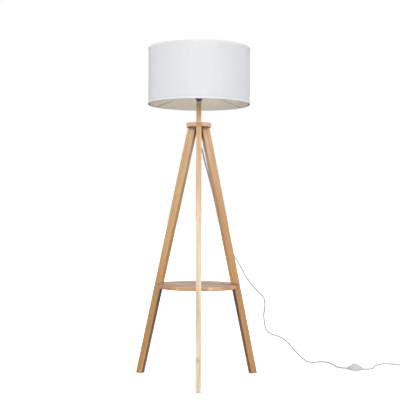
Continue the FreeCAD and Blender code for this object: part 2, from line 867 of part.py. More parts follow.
def make_switch_shells():
    wall = "switch_wall"
    base = turned_body(
        "switch_base_turned",
        [
            (0, 0),
            ("switch_radius - 2", 0),
            ("switch_radius", 3),
            ("switch_radius", "switch_base_height"),
            (f"switch_radius - {wall}", "switch_base_height"),
            (f"switch_radius - {wall}", 3.4),
            (f"switch_radius - 2 - {wall}", f"{wall}"),
            (5, f"{wall}"),
            (5, 9),
            (0, 9),
        ],
    )
    base_core = fused("switch_base_core", [base, *switch_spigots()])
    axis_height = f"switch_axis_height - floor_gap"
    lead = cylinder(
        "switch_lead_hole",
        "cord_radius",
        "2 * switch_half_length",
        ("-switch_half_length", 0, axis_height),
        Vector(1, 0, 0),
    )
    post = cylinder("switch_lead_keep", "switch_radius - 8", 40, (0, 0, -10))
    bores = doc.addObject("Part::Cut", "switch_lead_bores")
    bores.Base = lead
    bores.Tool = post
    screws = switch_screw_bores("switch_base", f"{wall} + 1")
    sinks = switch_screw_sinks()
    keep(at_switch(cut("switch_base_shell", base_core, [bores, *screws, *sinks])), "switch_base")

    slope = "switch_collar_height - 1.6"
    cover = turned_body(
        "switch_cover_body",
        [
            (f"switch_radius - {wall}", "switch_base_height"),
            ("switch_radius", "switch_base_height"),
            ("switch_radius - 0.8", "switch_base_height + 1.8"),
            ("switch_collar_radius + 2.5", slope),
            ("switch_collar_radius + 0.6", "switch_collar_height"),
            ("button_radius + 0.4", "switch_collar_height"),
            ("button_radius + 0.4", f"{slope} - 1.6"),
            ("switch_collar_radius + 1.6", f"{slope} - 1.6"),
            (f"switch_radius - 0.8 - {wall}", "switch_base_height + 1.2"),
        ],
    )
    crest = circle_at(size("switch_collar_radius") + 0.6, size("switch_collar_height"))
    rounded(cover, "switch_cover_round", 0.8, crest)
    posts = [
        cylinder(f"switch_post_{side}", 3, 14.2, (0, f"{side} * switch_screw_reach", wall)) for side in (1, -1)
    ]
    shell = fused("switch_cover_core", [cover, *posts])
    screws = switch_screw_bores("switch_cover", "switch_screw_top")
    keep(at_switch(cut("switch_cover_shell", shell, screws)), "switch_cover")


def switch_screw_bores(name, top):
    """Bores for the two screws, from below the switch up to a height."""
    return [
        cylinder(f"{name}_bore_{side}", "switch_screw_radius", f"{top} + 1", (0, f"{side} * switch_screw_reach", -1))
        for side in (1, -1)
    ]


def switch_screw_sinks():
    """The countersinks for the two screws' heads, in the switch's underside."""
    sinks = []
    for side in (1, -1):
        sink = doc.addObject("Part::Cone", f"switch_screw_sink_{side}")
        sink.setExpression("Radius1", on_sheet("switch_screw_head"))
        sink.setExpression("Radius2", on_sheet("switch_screw_radius"))
        sink.setExpression("Height", on_sheet("switch_screw_sink"))
        place_at(sink, (0, f"{side} * switch_screw_reach", 0))
        sinks.append(sink)
    return sinks


def switch_spigots():
    """The two tapered outlets that grip the lead, one on each side of the lower shell."""
    spigots = []
    for side, axis in (("right", Vector(1, 0, 0)), ("left", Vector(-1, 0, 0))):
        cone = doc.addObject("Part::Cone", f"switch_spigot_{side}")
        cone.Placement = Placement(Vector(), Rotation(Vector(0, 0, 1), axis))
        cone.setExpression("Radius1", on_sheet(4.7))
        cone.setExpression("Radius2", on_sheet(3.9))
        cone.setExpression("Height", on_sheet("switch_half_length - switch_radius + 2"))
        start = "switch_radius - 2" if side == "right" else "2 - switch_radius"
        place_at(cone, (start, 0, "switch_axis_height - floor_gap"))
        spigots.append(cone)
    return spigots


def make_switch_button():
    lip = "switch_collar_height - 3.2 - moving_gap"
    body = turned_body(
        "switch_button_body",
        [
            (0, "button_top - 2.4"),
            (0, "button_top"),
            ("button_radius - 4", "button_top - 0.7"),
            ("button_radius", "button_top - 4.6"),
            ("button_radius", lip),
            ("button_radius + 2", lip),
            ("button_radius + 2", f"{lip} - 1.6"),
            ("button_radius - 2", f"{lip} - 1.6"),
            ("button_radius - 2", "button_top - 6.4"),
            ("button_radius - 4.6", "button_top - 3.6"),
            (8, "button_top - 3.6"),
            (8, "button_top - 9"),
            (6.4, "button_top - 9"),
            (6.4, "button_top - 2.4"),
        ],
    )
    crown = circle_at(size("button_radius"), size("button_top") - 4.6)
    rounded(body, "switch_button_side_round", 2, crown)
    crest = circle_at(size("button_radius") - 4, size("button_top") - 0.7)
    rounded(body, "switch_button_top_round", 2, crest)
    keep(at_switch(body), "switch_button")


def make_switch_insides():
    wall, x, y, azimuth = size("switch_wall"), *SWITCH_PLACE
    place = (x, y, size("floor_gap"))

    seat, top, wire, coil = 9, size("button_top") - 2.4, 0.45, 4.6
    turns = 5
    pitch = (top - seat - 2 * wire) / turns
    helix = Part.makeHelix(pitch, pitch * turns, coil)
    section = Part.Wire([Part.makeCircle(wire, Vector(coil, 0, 0), Vector(0, 1, 0))])
    spring = Part.Wire(helix).makePipeShell([section], True, True)
    item = doc.addObject("Part::Feature", "switch_spring")
    item.Shape = moved(spring, (x, y, size("floor_gap") + seat + wire), azimuth)
    keep(item, "switch_spring")

    block = Part.makeBox(7, 5, 6, Vector(9, 8, wall))
    screw = Part.makeCylinder(1.5, 1.6, Vector(12.5, 10.5, wall + 6))
    terminal = block.fuse(screw).removeSplitter()
    group("switch_terminals", [moved(spun(terminal, turn), place, azimuth) for turn in (0, 180)])

    radius, sink, reach = size("switch_screw_radius"), size("switch_screw_sink"), size("switch_screw_reach")
    head = Part.makeCone(size("switch_screw_head"), radius, sink)
    shank = Part.makeCylinder(radius, size("switch_screw_top") - sink, Vector(0, 0, sink))
    screw = head.fuse(shank).removeSplitter()
    group("switch_screws", [moved(moved(screw, (0, side * reach, 0)), place, azimuth) for side in (1, -1)])


# ---------------------------------------------------------------- plug


def at_plug(item):
    x, y, azimuth = PLUG_PLACE
    lift = size("plug_thickness") / 2 + size("floor_gap")
    return turned(item, azimuth, (x, y, lift))


def make_plug():
    """A flat two-pin plug: tail at the origin, pins along +X."""
    body = new_body("plug_moulding")
    tail = "plug_tail"
    half = "plug_width / 2"
    corners = [
        (f"{tail} - 2", "0 - 5.6"),
        (f"{tail} + 9", f"0 - {half}"),
        (f"{tail} + plug_length - 3", f"0 - {half}"),
        (f"{tail} + plug_length", f"0 - {half} + 2"),
        (f"{tail} + plug_length", f"{half} - 2"),
        (f"{tail} + plug_length - 3", half),
        (f"{tail} + 9", half),
        (f"{tail} - 2", 5.6),
    ]
    slab = body.newObject("PartDesign::Pad", "plug_slab")
    slab.Profile = outline(sketch_on(body, "plug_outline", "XY_Plane"), corners)
    slab.setExpression("Length", on_sheet("plug_thickness"))
    slab.Midplane = True
    body.Tip = slab
    doc.recompute()

    def long_rim(edge):
        return abs(edge.CenterOfMass.z) > size("plug_thickness") / 2 - 0.01

    rounded(body, "plug_round", 2.6, long_rim)
    strain = doc.addObject("Part::Cone", "plug_strain_relief")
    strain.Placement = Placement(Vector(), Rotation(Vector(0, 0, 1), Vector(1, 0, 0)))
    strain.setExpression("Radius1", on_sheet("cord_radius + 0.9"))
    strain.setExpression("Radius2", on_sheet(5.4))
    strain.setExpression("Height", on_sheet("plug_tail + 4"))
    whole = fused("plug_whole", [body, strain])
    holes = [
        cylinder(
            f"plug_pin_hole_{side}",
            "pin_radius - 0.3",
            12,
            (f"{tail} + plug_length - 10", f"{side} * pin_spacing / 2", 0),
            Vector(1, 0, 0),
        )
        for side in ("1", "-1")
    ]
    keep(at_plug(cut("plug_body_bored", whole, holes)), "plug_body")


def make_plug_pins():
    radius, neck, length = size("pin_radius"), size("pin_radius") - 0.3, size("pin_length")
    face = size("plug_tail") + size("plug_length")
    sleeve_length, bury = 10, 10
    x, y, azimuth = PLUG_PLACE
    lift = size("plug_thickness") / 2 + size("floor_gap")
    along = Vector(1, 0, 0)
    root = Part.makeCylinder(neck, bury + sleeve_length, Vector(face - bury, 0, 0), along)
    tip = Part.makeCylinder(radius, length - sleeve_length, Vector(face + sleeve_length, 0, 0), along)
    nose = [edge for edge in tip.Edges if abs(edge.CenterOfMass.x - face - length) < 0.01]
    pin = root.fuse(tip.makeFillet(1.6, nose)).removeSplitter()
    tube = Part.makeCylinder(radius, sleeve_length, Vector(face, 0, 0), along)
    sleeve = tube.cut(Part.makeCylinder(neck, sleeve_length, Vector(face, 0, 0), along))
    for label, shape in (("plug_pins", pin), ("pin_sleeves", sleeve)):
        pair = []
        for side in (1, -1):
            offset = moved(shape, (0, side * size("pin_spacing") / 2, 0))
            pair.append(moved(offset, (x, y, lift), azimuth))
        group(label, pair)


# ---------------------------------------------------------------- the free lead


def make_free_lead():
    radius = size("cord_radius")
    routes = {
        "cord_to_switch": CORD_TO_SWITCH,
        "cord_to_coil": CORD_TO_COIL,
        "cord_to_plug": CORD_TO_PLUG,
    }
    for label, route in routes.items():
        item = doc.addObject("Part::Feature", label)
        item.Shape = bent_tube(label, route, radius)
        keep(item, label)

    x, y = COIL_CENTRE
    low = size("floor_gap")
    inner, outer = size("coil_radius") - size("coil_half_width"), size("coil_radius") + size("coil_half_width")
    ring = Part.makeCylinder(outer, size("coil_height"), Vector(x, y, low))
    ring = ring.cut(Part.makeCylinder(inner, size("coil_height"), Vector(x, y, low)))
    rims = [edge for edge in ring.Edges if isinstance(edge.Curve, Part.Circle)]
    item = doc.addObject("Part::Feature", "cord_coil")
    item.Shape = ring.makeFillet(2, rims).cut([nodes["cord_to_coil"].Shape, nodes["cord_to_plug"].Shape])
    keep(item, "cord_coil")


# ---------------------------------------------------------------- build, test and write


def build():
    fill_sheet()
    make_legs()
    make_foot_pads()
    make_wood_fasteners()
    make_head_disc()
    make_shelf()
    make_stem()
    make_rod_parts()
    make_lampholder()
    make_clamp_ring()
    make_spider()
    make_rim_wires()
    make_shade_skins()
    make_hems()
    make_switch_shells()
    make_switch_button()
    make_switch_insides()
    make_plug()
    make_plug_pins()
    make_free_lead()
    doc.recompute()


def check_document():
    for item in doc.Objects:
        bad = [state for state in item.State if state in ("Invalid", "Error")]
        if bad:
            raise ValueError(f"{item.Name} is {bad}")
    for label, item in nodes.items():
        shape = item.Shape
        if shape.isNull() or not shape.isValid() or not shape.Solids:
            raise ValueError(f"{label} has no valid solid")


def write_parts():
    os.makedirs("parts", exist_ok=True)
    for label, item in sorted(nodes.items()):
        item.Shape.exportStep(f"parts/{label}.step")
        bounds = item.Shape.BoundBox
        print(
            f"{label}: {len(item.Shape.Solids)} solid(s), {item.Shape.Volume / 1000:.2f} cm3, "
            f"x {bounds.XMin:.1f}..{bounds.XMax:.1f} y {bounds.YMin:.1f}..{bounds.YMax:.1f} "
            f"z {bounds.ZMin:.1f}..{bounds.ZMax:.1f}"
        )


build()
check_document()
write_parts()
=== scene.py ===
"""The looks of a tripod floor lamp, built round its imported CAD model, in metres.

The floor is z = 0 and the lamp's axis is x = y = 0. The camera looks from the -Y side.
"""
import math

import bpy
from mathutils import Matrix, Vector


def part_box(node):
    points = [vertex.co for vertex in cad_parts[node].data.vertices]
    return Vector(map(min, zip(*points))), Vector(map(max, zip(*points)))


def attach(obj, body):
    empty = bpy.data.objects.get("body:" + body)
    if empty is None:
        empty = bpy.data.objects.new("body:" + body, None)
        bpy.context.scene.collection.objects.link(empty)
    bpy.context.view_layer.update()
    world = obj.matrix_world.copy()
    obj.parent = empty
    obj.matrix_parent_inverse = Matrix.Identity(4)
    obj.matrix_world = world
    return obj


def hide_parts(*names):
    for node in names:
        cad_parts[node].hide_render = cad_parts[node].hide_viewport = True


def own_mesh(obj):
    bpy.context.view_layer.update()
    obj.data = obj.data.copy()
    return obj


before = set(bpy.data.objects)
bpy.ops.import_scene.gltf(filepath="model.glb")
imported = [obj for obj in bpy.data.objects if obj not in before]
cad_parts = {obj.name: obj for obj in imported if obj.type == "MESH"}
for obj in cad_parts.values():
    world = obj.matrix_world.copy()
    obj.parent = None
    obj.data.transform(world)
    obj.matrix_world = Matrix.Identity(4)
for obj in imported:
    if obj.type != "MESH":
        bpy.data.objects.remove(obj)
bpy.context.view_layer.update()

LEAD_DIAMETER = 0.0065
STAND_TOP = 1.1
ROOM_LIGHT = 0.06


# ---------------------------------------------------------------- camera, light and floor


def add_camera():
    """Looks level from the front, a little left of the lamp's own front, at table height."""
    away, height, swing, tilt = 3.9095, 0.7354, 0.0162, 0.0069
    data = bpy.data.cameras.new("camera")
    data.sensor_width = 36
    data.lens = 79.23
    data.shift_x = 0.0046
    data.shift_y = 0.0333
    data.clip_end = 200
    camera = bpy.data.objects.new("camera", data)
    camera.location = (-away * math.sin(swing), -away * math.cos(swing), height)
    camera.rotation_euler = (math.pi / 2, -tilt, -swing)
    bpy.context.scene.collection.objects.link(camera)
    bpy.context.scene.camera = camera


def add_sun(name, azimuth, elevation, strength, softness):
    """Even light from one side, as from a large screen far away; azimuth 0 is the camera's side."""
    data = bpy.data.lights.new(name, "SUN")
    data.energy = strength
    data.angle = math.radians(softness)
    light = bpy.data.objects.new(name, data)
    light.rotation_euler = (math.radians(90 - elevation), 0, math.radians(azimuth))
    bpy.context.scene.collection.objects.link(light)


def add_lights():
    """Broad screens left and right of the camera and above it, a weak one at it and one behind the lamp."""
    add_sun("screen_left", -59, 15.5, 2.3, 40)
    add_sun("screen_right", 59, 15.5, 2.3, 40)
    add_sun("screen_above", 0, 50, 1.0, 50)
    add_sun("fill_front", 0, 2, 0.34, 30)
    add_sun("screen_back", 180, 35, 0.6, 50)
    add_shade_glow()
    world = bpy.data.worlds.new("studio")
    world.use_nodes = True
    tree = world.node_tree
    path = tree.nodes.new("ShaderNodeLightPath")
    seen = tree.nodes.new("ShaderNodeMapRange")
    seen.inputs["To Min"].default_value = ROOM_LIGHT
    seen.inputs["To Max"].default_value = 1.0
    tree.links.new(path.outputs["Is Camera Ray"], seen.inputs["Value"])
    tree.links.new(seen.outputs["Result"], tree.nodes["Background"].inputs["Strength"])
    tree.nodes["Background"].inputs["Color"].default_value = (1, 1, 1, 1)
    bpy.context.scene.world = world
    bpy.context.scene.view_settings.view_transform = "Standard"


def add_shade_glow():
    """The light that comes through the cloth and fills the inside of the shade."""
    data = bpy.data.lights.new("shade_glow", "POINT")
    data.energy = 0.42
    data.shadow_soft_size = 0.05
    light = bpy.data.objects.new("shade_glow", data)
    light.location = (0, 0, 1.36)
    bpy.context.scene.collection.objects.link(light)
    inside = bpy.data.collections.new("inside_the_shade")
    for name in ("shade_liner", "spider", "bottom_hem_tape", "bottom_rim_wire", "holder_body", "clamp_ring"):
        inside.objects.link(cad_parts[name])
    light.light_linking.receiver_collection = inside


def add_floor():
    """A wide round floor, so that its far edge lies at the horizon in every view."""
    reach, sides = 60, 96
    ring = [
        (reach * math.cos(2 * math.pi * side / sides), reach * math.sin(2 * math.pi * side / sides), 0)
        for side in range(sides)
    ]
    mesh = bpy.data.meshes.new("floor")
    mesh.from_pydata(ring, [], [list(range(sides))])
    floor = bpy.data.objects.new("floor", mesh)
    bpy.context.scene.collection.objects.link(floor)
    floor.data.materials.append(floor_paint())
    floor.visible_diffuse = False


# ---------------------------------------------------------------- material helpers


class Paint:
    """A material's node tree, with short ways to add and join its nodes."""

    def __init__(self, name):
        self.material = bpy.data.materials.new(name)
        self.material.use_nodes = True
        self.tree = self.material.node_tree
        self.shader = self.tree.nodes["Principled BSDF"]

    def node(self, kind, **settings):
        node = self.tree.nodes.new("ShaderNode" + kind)
        for key, value in settings.items():
            setattr(node, key, value)
        return node

    def join(self, source, target):
        self.tree.links.new(source, target)

    def place(self, rotation=(0, 0, 0), scale=(1, 1, 1), offset=(0, 0, 0), source=None):
        """Coordinates in the lamp's own frame, or those of source, turned and stretched."""
        mapping = self.node("Mapping")
        mapping.inputs["Rotation"].default_value = rotation
        mapping.inputs["Scale"].default_value = scale
        mapping.inputs["Location"].default_value = offset
        self.join(source or self.node("TexCoord").outputs["Object"], mapping.inputs["Vector"])
        return mapping.outputs["Vector"]

    def axis(self, name):
        """One coordinate in the lamp's own frame."""
        split = self.node("SeparateXYZ")
        self.join(self.node("TexCoord").outputs["Object"], split.inputs["Vector"])
        return split.outputs[name]

    def radius(self):
        """Distance from the lamp's axis."""
        length = self.node("VectorMath", operation="LENGTH")
        self.join(self.place(scale=(1, 1, 0)), length.inputs[0])
        return length.outputs["Value"]

    def distance(self, place, scale):
        """Distance from a place, each coordinate scaled."""
        length = self.node("VectorMath", operation="LENGTH")
        offset = [-part * share for part, share in zip(place, scale)]
        self.join(self.place(scale=scale, offset=offset), length.inputs[0])
        return length.outputs["Value"]

    def painted_underside_shade(self):
        """Painted shade: white, and darker where the wood faces down, most of all close under the shelf and
        under the head.

        The scene's lights are too even to shade those faces as deeply as a room does.
        """
        split = self.node("SeparateXYZ")
        self.join(self.node("NewGeometry").outputs["Normal"], split.inputs["Vector"])
        # Painted shade: how much a face looks down decides how much of the shade it gets.
        down = self.span(split.outputs["Z"], 1, 0, -0.2, -0.05)
        shaded = self.ramp(
            self.span(self.axis("Z"), 0, 1, 0, STAND_TOP),
            (0.05, (0.33, 0.32, 0.34)),
            (0.27, (0.27, 0.25, 0.26)),
            (0.33, (0.15, 0.13, 0.14)),
            (0.365, (0.12, 0.10, 0.11)),
            (0.385, (0.95, 0.96, 0.90)),
            (0.52, (0.76, 0.79, 0.84)),
            (0.95, (0.72, 0.76, 0.86)),
            (1, (0.48, 0.42, 0.40)),
        )
        return self.mix((1, 1, 1), shaded, down)

    def noise(self, vector, scale, detail=3, roughness=0.5, distortion=0):
        noise = self.node("TexNoise")
        noise.inputs["Scale"].default_value = scale
        noise.inputs["Detail"].default_value = detail
        noise.inputs["Roughness"].default_value = roughness
        noise.inputs["Distortion"].default_value = distortion
        self.join(vector, noise.inputs["Vector"])
        return noise.outputs["Fac"]

    def wave(self, vector, scale, direction, distortion=0, detail=2, detail_scale=1):
        wave = self.node("TexWave", bands_direction=direction)
        wave.inputs["Scale"].default_value = scale
        wave.inputs["Distortion"].default_value = distortion
        wave.inputs["Detail"].default_value = detail
        wave.inputs["Detail Scale"].default_value = detail_scale
        self.join(vector, wave.inputs["Vector"])
        return wave.outputs["Fac"]

    def ramp(self, source, *stops):
        """Colours at given places from 0 to 1."""
        ramp = self.node("ValToRGB")
        elements = ramp.color_ramp.elements
        while len(elements) < len(stops):
            elements.new(0.5)
        for element, (place, colour) in zip(elements, stops):
            element.position = place
            element.color = (*colour, 1)
        self.join(source, ramp.inputs["Fac"])
        return ramp.outputs["Color"]

    def span(self, source, low, high, start=0, end=1):
        """The source's stretch from start to end, spread from low to high."""
        spread = self.node("MapRange")
        for key, value in (("From Min", start), ("From Max", end), ("To Min", low), ("To Max", high)):
            spread.inputs[key].default_value = value
        self.join(source, spread.inputs["Value"])
        return spread.outputs["Result"]

    def mix(self, one, two, share, kind="MIX"):
        """Two colours mixed; share, one and two are sockets or values."""
        mix = self.node("Mix", data_type="RGBA", blend_type=kind)
        for socket, value in ((mix.inputs[0], share), (mix.inputs[6], one), (mix.inputs[7], two)):
            if isinstance(value, bpy.types.NodeSocket):
                self.join(value, socket)
            else:
                socket.default_value = value if isinstance(value, (int, float)) else (*value, 1)
        return mix.outputs[2]

    def sum(self, one, two, share=1.0):
        node = self.node("Math", operation="MULTIPLY_ADD")
        self.join(two, node.inputs[0])
        node.inputs[1].default_value = share
        self.join(one, node.inputs[2])
        return node.outputs["Value"]

    def colour(self, source):
        if isinstance(source, bpy.types.NodeSocket):
            self.join(source, self.shader.inputs["Base Color"])
        else:
            self.shader.inputs["Base Color"].default_value = (*source, 1)

    def rough(self, source):
        if isinstance(source, bpy.types.NodeSocket):
            self.join(source, self.shader.inputs["Roughness"])
        else:
            self.shader.inputs["Roughness"].default_value = source

    def bump(self, height, depth, strength=1.0):
        """Raises the surface by up to depth metres where height is 1."""
        bump = self.node("Bump")
        bump.inputs["Strength"].default_value = strength
        bump.inputs["Distance"].default_value = depth
        self.join(height, bump.inputs["Height"])
        self.join(bump.outputs["Normal"], self.shader.inputs["Normal"])

    def set(self, **values):
        for key, value in values.items():
            self.shader.inputs[key.replace("_", " ")].default_value = value


# ---------------------------------------------------------------- materials


def floor_paint():
    """A white floor, lit a little from underneath so that the shadows on it stay light."""
    paint = Paint("floor_paint")
    paint.colour((0.8, 0.8, 0.8))
    paint.rough(0.9)
    paint.set(Emission_Color=(1, 1, 1, 1), Emission_Strength=0.75)
    return paint.material


def wood(name, grain, colour, offset, streak=0.013, knots=()):
    """Lacquered oak: broad streaks, growth lines and short dark pores along the grain direction.

    The colour is one for the whole piece, or a function that gives one for each place on it. Streak is how
    wide the broad streaks are, and knots are places in the lamp's own frame.
    """
    paint = Paint(name)
    turn = Vector(grain).rotation_difference(Vector((0, 0, 1))).to_euler()
    board = paint.place(rotation=turn, offset=offset)
    streaks = paint.noise(paint.place(scale=(1, 1, 0.045), source=board), 1 / streak, 5, 0.62, 0.3)
    lines = paint.wave(paint.place(scale=(1, 1, 0.05), source=board), 34, "X", 9, 3, 1.4)
    pores = paint.noise(paint.place(scale=(1, 1, 0.035), source=board), 950, 2, 0.6)
    patches = paint.noise(paint.place(scale=(1, 1, 0.3), source=board), 7, 2)
    clear = (1, 1, 1)
    tone = paint.ramp(streaks, (0.32, (0.76, 0.67, 0.56)), (0.6, clear))
    tone = paint.mix(tone, paint.ramp(lines, (0, (0.80, 0.72, 0.62)), (0.55, clear)), 0.35, "MULTIPLY")
    tone = paint.mix(tone, paint.ramp(patches, (0.3, (0.90, 0.86, 0.81)), (0.7, clear)), 0.5, "MULTIPLY")
    for knot in knots:
        ring = paint.ramp(paint.distance(knot, (1, 1, 0.45)), (0, (0.60, 0.40, 0.28)), (0.009, clear))
        tone = paint.mix(tone, ring, 0.85, "MULTIPLY")
    tone = paint.mix(tone, paint.ramp(pores, (0.3, (0.62, 0.52, 0.42)), (0.42, clear)), 0.55, "MULTIPLY")
    tone = paint.mix(tone, colour(paint) if callable(colour) else colour, 1.0, "MULTIPLY")
    # Painted shade on the faces that look down, deepest under the shelf and the head.
    paint.colour(paint.mix(tone, paint.painted_underside_shade(), 1.0, "MULTIPLY"))
    paint.rough(paint.span(streaks, 0.45, 0.58))
    paint.bump(paint.sum(pores, streaks, 0.6), 0.00025, 0.5)
    paint.set(Specular_IOR_Level=0.3, Coat_Weight=0.06, Coat_Roughness=0.35)
    return paint.material


def by_height(*stops):
    """A colour that changes from the floor, at 0, to the head, at 1."""
    def colour(paint):
        return paint.ramp(paint.span(paint.axis("Z"), 0, 1, 0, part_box("head_disc")[1].z), *stops)
    return colour


def shelf_tone(paint):
    """Broad bands, a browner rim, dark ends left and right, and a painted highlight on the rim in front.

    The ends stand for the shade of the two back legs, which the scene's even lights leave out.
    """
    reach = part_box("shelf")[1].x
    bands = paint.noise(paint.place(rotation=(0, 0, 0.12), scale=(0.22, 1, 1)), 17, 2)
    top = paint.ramp(bands, (0.4, (0.42, 0.265, 0.17)), (0.58, (0.76, 0.58, 0.41)))
    rim = paint.ramp(bands, (0.4, (0.56, 0.30, 0.15)), (0.58, (0.82, 0.52, 0.30)))
    board = paint.mix(top, rim, paint.span(paint.radius(), 0, 1, reach - 0.002, reach))
    sides = paint.span(paint.axis("X"), 0, 1, -reach, reach)
    brown, clear = (0.62, 0.54, 0.46), (1, 1, 1)
    sides = paint.ramp(sides, (0.01, brown), (0.12, clear), (0.88, clear), (0.99, brown))
    board = paint.mix(board, sides, 1.0, "MULTIPLY")
    # Painted highlight: a pale spot on the front of the rim, where the light glints.
    painted_highlight = paint.span(paint.distance((0.050, -0.176, 0.415), (0.8, 0.3, 1.6)), 1, 0, 0.005, 0.012)
    return paint.mix(board, (1, 0.88, 0.78), painted_highlight)


def moulded(name, colour, roughness, coat=0.0):
    """Moulded plastic: a fine even texture and slight drift in gloss."""
    paint = Paint(name)
    where = paint.place()
    fine = paint.noise(where, 1800, 2)
    drift = paint.noise(where, 26, 3)
    darker = tuple(0.94 * part for part in colour)
    paint.colour(paint.ramp(drift, (0.35, darker), (0.65, colour)))
    paint.rough(paint.span(drift, roughness - 0.04, roughness + 0.07))
    paint.bump(fine, 0.00006, 0.4)
    if coat:
        paint.set(Coat_Weight=coat, Coat_Roughness=0.12)
    return paint.material


def plated(name, colour, roughness, grain_scale=(1, 1, 1)):
    """Metal with a faint drawn or brushed grain."""
    paint = Paint(name)
    where = paint.place(scale=grain_scale)
    grain = paint.noise(where, 900, 4, 0.7)
    stain = paint.noise(where, 60, 3)
    dull = tuple(0.8 * part for part in colour)
    paint.colour(paint.ramp(stain, (0.3, dull), (0.6, colour)))
    paint.rough(paint.span(grain, roughness - 0.08, roughness + 0.12))
    paint.bump(grain, 0.00003, 0.4)
    paint.set(Metallic=1.0)
    return paint.material


def powder_coat(name, colour):
    """Sprayed and baked paint with a faint orange peel."""
    paint = Paint(name)
    where = paint.place()
    orange_peel = paint.noise(where, 700, 2)
    darker = tuple(0.95 * part for part in colour)
    paint.colour(paint.ramp(paint.noise(where, 40, 2), (0.3, darker), (0.7, colour)))
    paint.rough(paint.span(orange_peel, 0.4, 0.52))
    paint.bump(orange_peel, 0.00008, 0.5)
    return paint.material


def cloth(name, colour, thread=0.0007, slub=0.5, inside=None):
    """Plain woven cotton on a drum: threads up and round, with uneven slubs in both.

    Where the cloth is turned in behind the rim, it may have another colour, inside.
    """
    paint = Paint(name)
    angle = paint.node("Math", operation="ARCTAN2")
    paint.join(paint.axis("Y"), angle.inputs[0])
    paint.join(paint.axis("X"), angle.inputs[1])
    arc = paint.node("Math", operation="MULTIPLY")
    paint.join(angle.outputs["Value"], arc.inputs[0])
    arc.inputs[1].default_value = SHADE_RADIUS
    flat = paint.node("CombineXYZ")
    paint.join(arc.outputs["Value"], flat.inputs["X"])
    paint.join(paint.axis("Z"), flat.inputs["Y"])
    sheet = flat.outputs["Vector"]
    bands = math.pi / 10 / thread
    warp = paint.wave(sheet, bands, "X", 0.6, 1, 2)
    weft = paint.wave(sheet, bands, "Y", 0.6, 1, 2)
    upright = paint.noise(paint.place(scale=(1, 0.02, 1), source=sheet), 900, 3, 0.6)
    level = paint.noise(paint.place(scale=(0.02, 1, 1), source=sheet), 900, 3, 0.6)
    broad = paint.noise(paint.place(scale=(1, 0.06, 1), source=sheet), 60, 3, 0.6)
    shade = tuple(0.86 * part for part in colour)
    tone = paint.ramp(upright, (0.32, shade), (0.62, colour))
    tone = paint.mix(tone, paint.ramp(level, (0.32, shade), (0.62, colour)), 0.4)
    tone = paint.mix(colour, tone, slub)
    tone = paint.mix(tone, paint.ramp(broad, (0.3, (0.95, 0.95, 0.95)), (0.7, (1, 1, 1))), 0.5, "MULTIPLY")
    if inside:
        turned_in = paint.span(paint.radius(), 1, 0, SHADE_RADIUS - 0.0016, SHADE_RADIUS - 0.0011)
        tone = paint.mix(tone, inside, turned_in)
    paint.colour(tone)
    paint.rough(paint.span(upright, 0.82, 0.95))
    threads = paint.sum(paint.sum(warp, weft), upright, 0.8)
    paint.bump(threads, 0.00016, 0.7)
    paint.set(Sheen_Weight=0.25, Sheen_Roughness=0.5)
    return paint.material


def lining(name, colour):
    """Stiff plastic-backed lining: nearly smooth, a little warm, with the weave showing through."""
    paint = Paint(name)
    where = paint.place(scale=(1, 1, 0.1))
    ghost = paint.noise(where, 500, 3)
    darker = tuple(0.93 * part for part in colour)
    paint.colour(paint.ramp(ghost, (0.3, darker), (0.7, colour)))
    paint.rough(0.6)
    paint.bump(ghost, 0.00006, 0.4)
    return paint.material


def felt(name, colour):
    """Matted fibres, with painted shade in the gaps between them, which are also deeper."""
    paint = Paint(name)
    where = paint.place()
    fibres = paint.noise(where, 1400, 5, 0.75)
    darker = tuple(0.6 * part for part in colour)
    paint.colour(paint.ramp(fibres, (0.3, darker), (0.7, colour)))
    paint.rough(0.97)
    paint.bump(fibres, 0.0005, 0.8)
    return paint.material


# ---------------------------------------------------------------- meshes


def add_mesh(name, points, faces, material, body):
    """A smooth-shaded object that moves with a body."""
    mesh = bpy.data.meshes.new(name)
    mesh.from_pydata(points, [], faces)
    mesh.validate()
    mesh.polygons.foreach_set("use_smooth", [True] * len(mesh.polygons))
    item = bpy.data.objects.new(name, mesh)
    bpy.context.scene.collection.objects.link(item)
    mesh.materials.append(material)
    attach(item, body)
    return item


def lathe(outline, sides, wobble):
    """Points and faces of a closed outline of (radius, height) pairs turned about the lamp's axis.

    Wobble gives how far each place stands off the true turned form, from its angle and height.
    """
    points = []
    for side in range(sides):
        angle = 2 * math.pi * side / sides
        for radius, height in outline:
            reach = radius + wobble(angle, height)
            points.append((reach * math.cos(angle), reach * math.sin(angle), height))
    count = len(outline)
    faces = []
    for side in range(sides):
        here, after = side * count, (side + 1) % sides * count
        for step in range(count):
            up = (step + 1) % count
            faces.append((here + step, after + step, after + up, here + up))
    return points, faces


# ---------------------------------------------------------------- shade


SHADE_LOW, SHADE_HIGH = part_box("shade_fabric")
SHADE_RADIUS = SHADE_HIGH.x


def ripple(angle, height):
    """How far the cloth stands off a true cylinder: a few slow waves, under a third of a millimetre."""
    share = (height - SHADE_LOW.z) / (SHADE_HIGH.z - SHADE_LOW.z)
    slack = math.sin(math.pi * min(max(share, 0), 1))
    return 0.00016 * slack * (math.sin(7 * angle + 1.3) + 0.7 * math.sin(16 * angle + 4 * share))


def add_shade_cloth():
    """The shade's cover, a hair inside the outer face of the CAD's cloth."""
    thickness, set_back, rows = 0.001, 0.0002, 16
    heights = [SHADE_LOW.z + (SHADE_HIGH.z - SHADE_LOW.z) * row / rows for row in range(rows + 1)]
    outside = [(SHADE_RADIUS - set_back, height) for height in heights]
    inside = [(SHADE_RADIUS - thickness, height) for height in reversed(heights)]
    points, faces = lathe(outside + inside, 256, ripple)
    cover = add_mesh("shade_cover", points, faces, cloth("shade_cotton", (0.845, 0.855, 0.885)), "shade")
    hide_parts("shade_fabric")


# ---------------------------------------------------------------- mains lead


